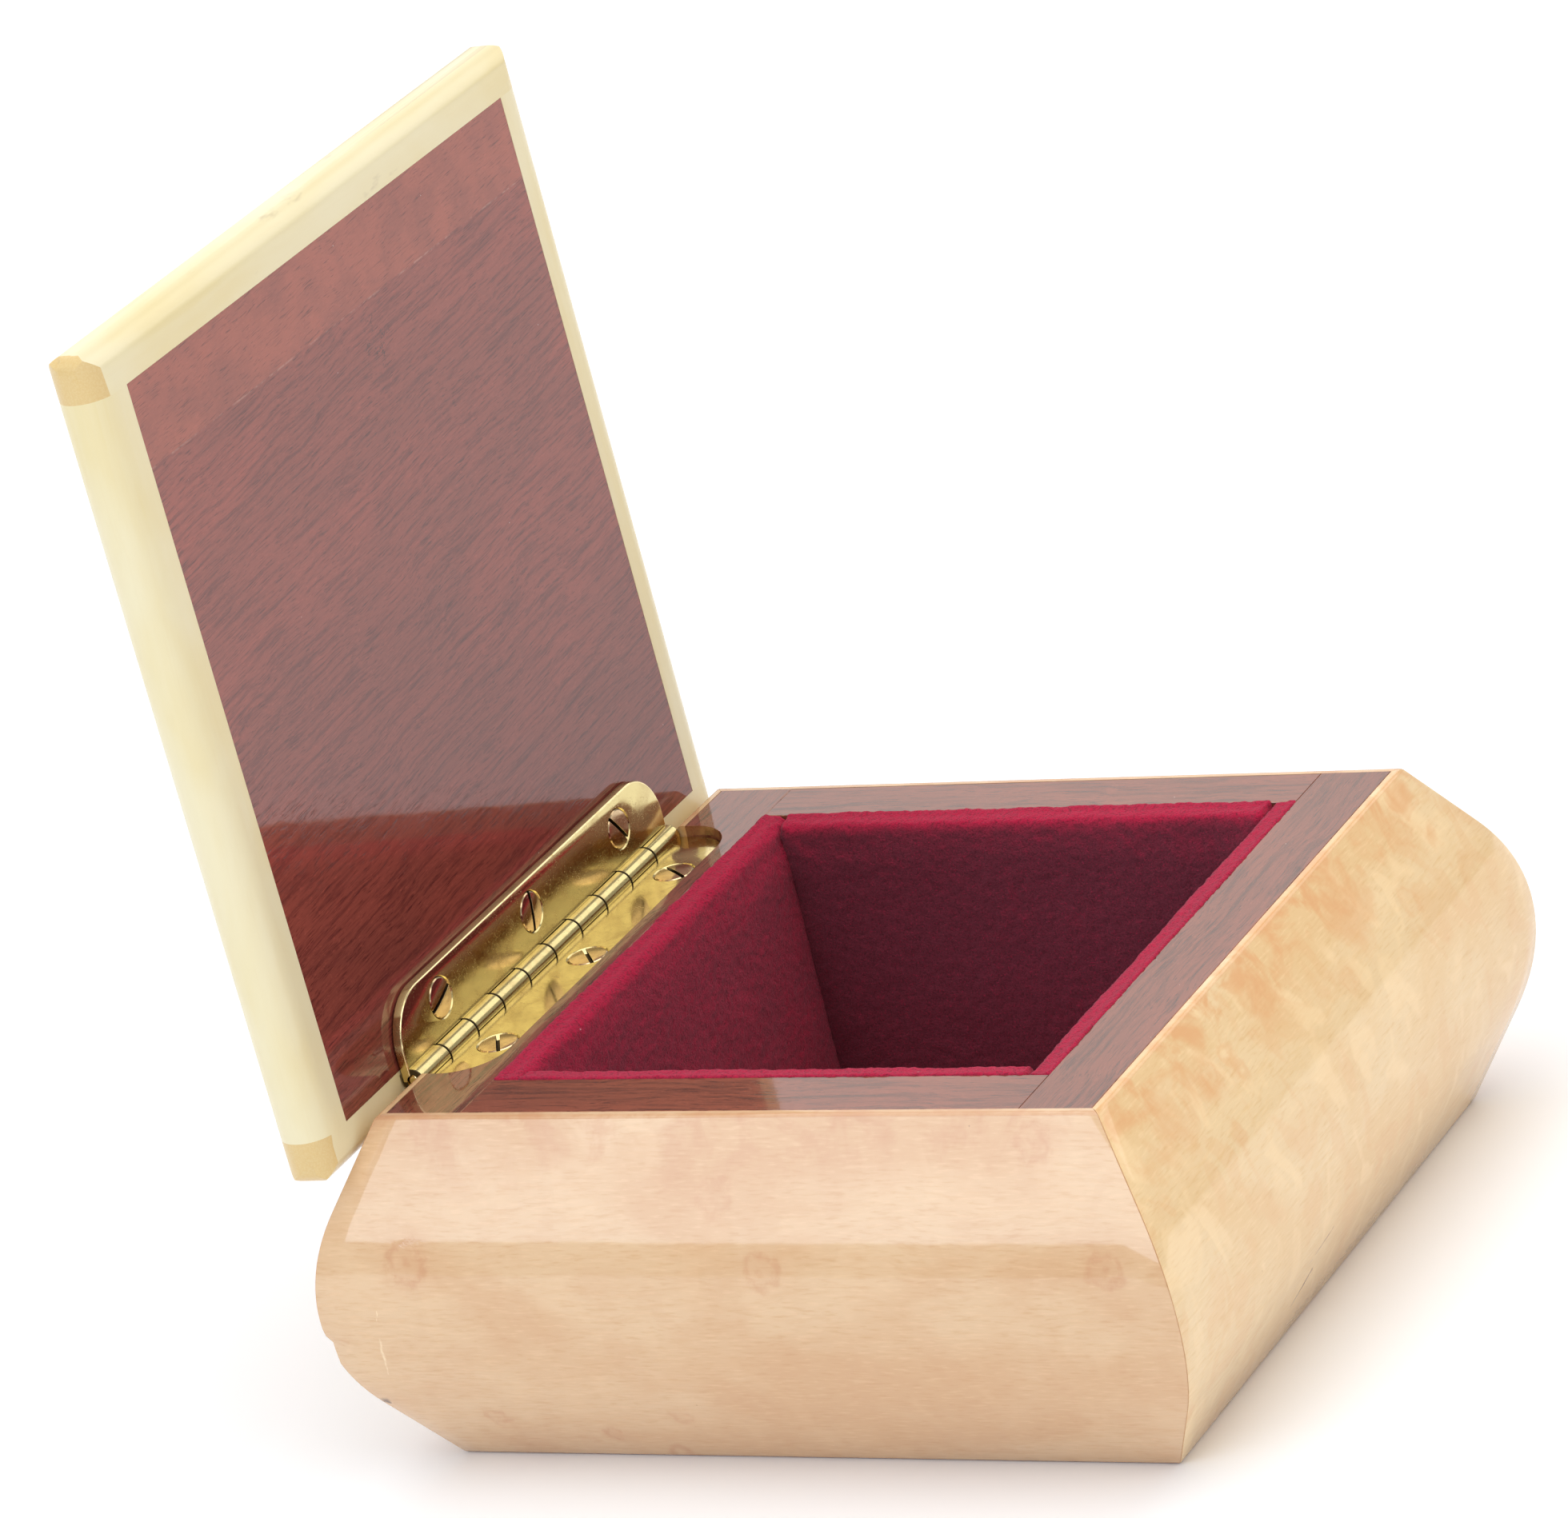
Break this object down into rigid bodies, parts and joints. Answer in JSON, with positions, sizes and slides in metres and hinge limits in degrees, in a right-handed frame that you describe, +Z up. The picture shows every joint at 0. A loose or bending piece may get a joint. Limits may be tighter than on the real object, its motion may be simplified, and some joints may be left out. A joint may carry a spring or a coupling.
{
  "type": "ring box",
  "caption": "Open ring box with bulging bird's-eye maple sides, velvet-lined mahogany well and a flat framed lid on a brass butt hinge.",
  "frame": {"origin": "middle of the base's flat underside, on the surface that it stands on", "axes": "+Z up; +X from the hinge side to the opening side; -Y is the front, +Y the back"},
  "size_m": [0.108, 0.1016, 0.1337],
  "materials": {
    "birdseye_maple": "gloss lacquer over bird's-eye figure",
    "mahogany": "gloss lacquer, dark straight grain",
    "holly": "satin, pale cream with faint grain",
    "plywood": "raw, hidden",
    "velvet": "short cut pile",
    "card": "raw board, hidden",
    "brass": "polished with light tarnish",
    "screw_brass": "dulled, reddish"
  },
  "bodies": {
    "base": {"bottom_panel": "mahogany", "left_wall": "mahogany", "right_wall": "mahogany", "front_wall": "mahogany", "back_wall": "mahogany", "left_side": "birdseye_maple", "right_side": "birdseye_maple", "front_side": "birdseye_maple", "back_side": "birdseye_maple", "left_pad": "velvet", "right_pad": "velvet", "front_pad": "velvet", "back_pad": "velvet", "floor_pad": "velvet", "left_card": "card", "right_card": "card", "front_card": "card", "back_card": "card", "floor_card": "card", "lower_leaf": "brass", "hinge_pin": "brass", "lower_screw_front": "screw_brass", "lower_screw_middle": "screw_brass", "lower_screw_back": "screw_brass"},
    "lid": {"lid_core": "plywood", "lid_lining": "mahogany", "lid_top_panel": "birdseye_maple", "lid_edge_hinge": "holly", "lid_edge_free": "holly", "lid_edge_front": "holly", "lid_edge_back": "holly", "upper_leaf": "brass", "upper_screw_front": "screw_brass", "upper_screw_middle": "screw_brass", "upper_screw_back": "screw_brass"}
  },
  "joints": [
    {"name": "lid_hinge", "type": "hinge", "parent": "base", "child": "lid", "pos_m": [-0.0452, 0, 0.0404], "axis": [0, -1, 0], "range_deg": [-91.4, 13]}
  ]
}
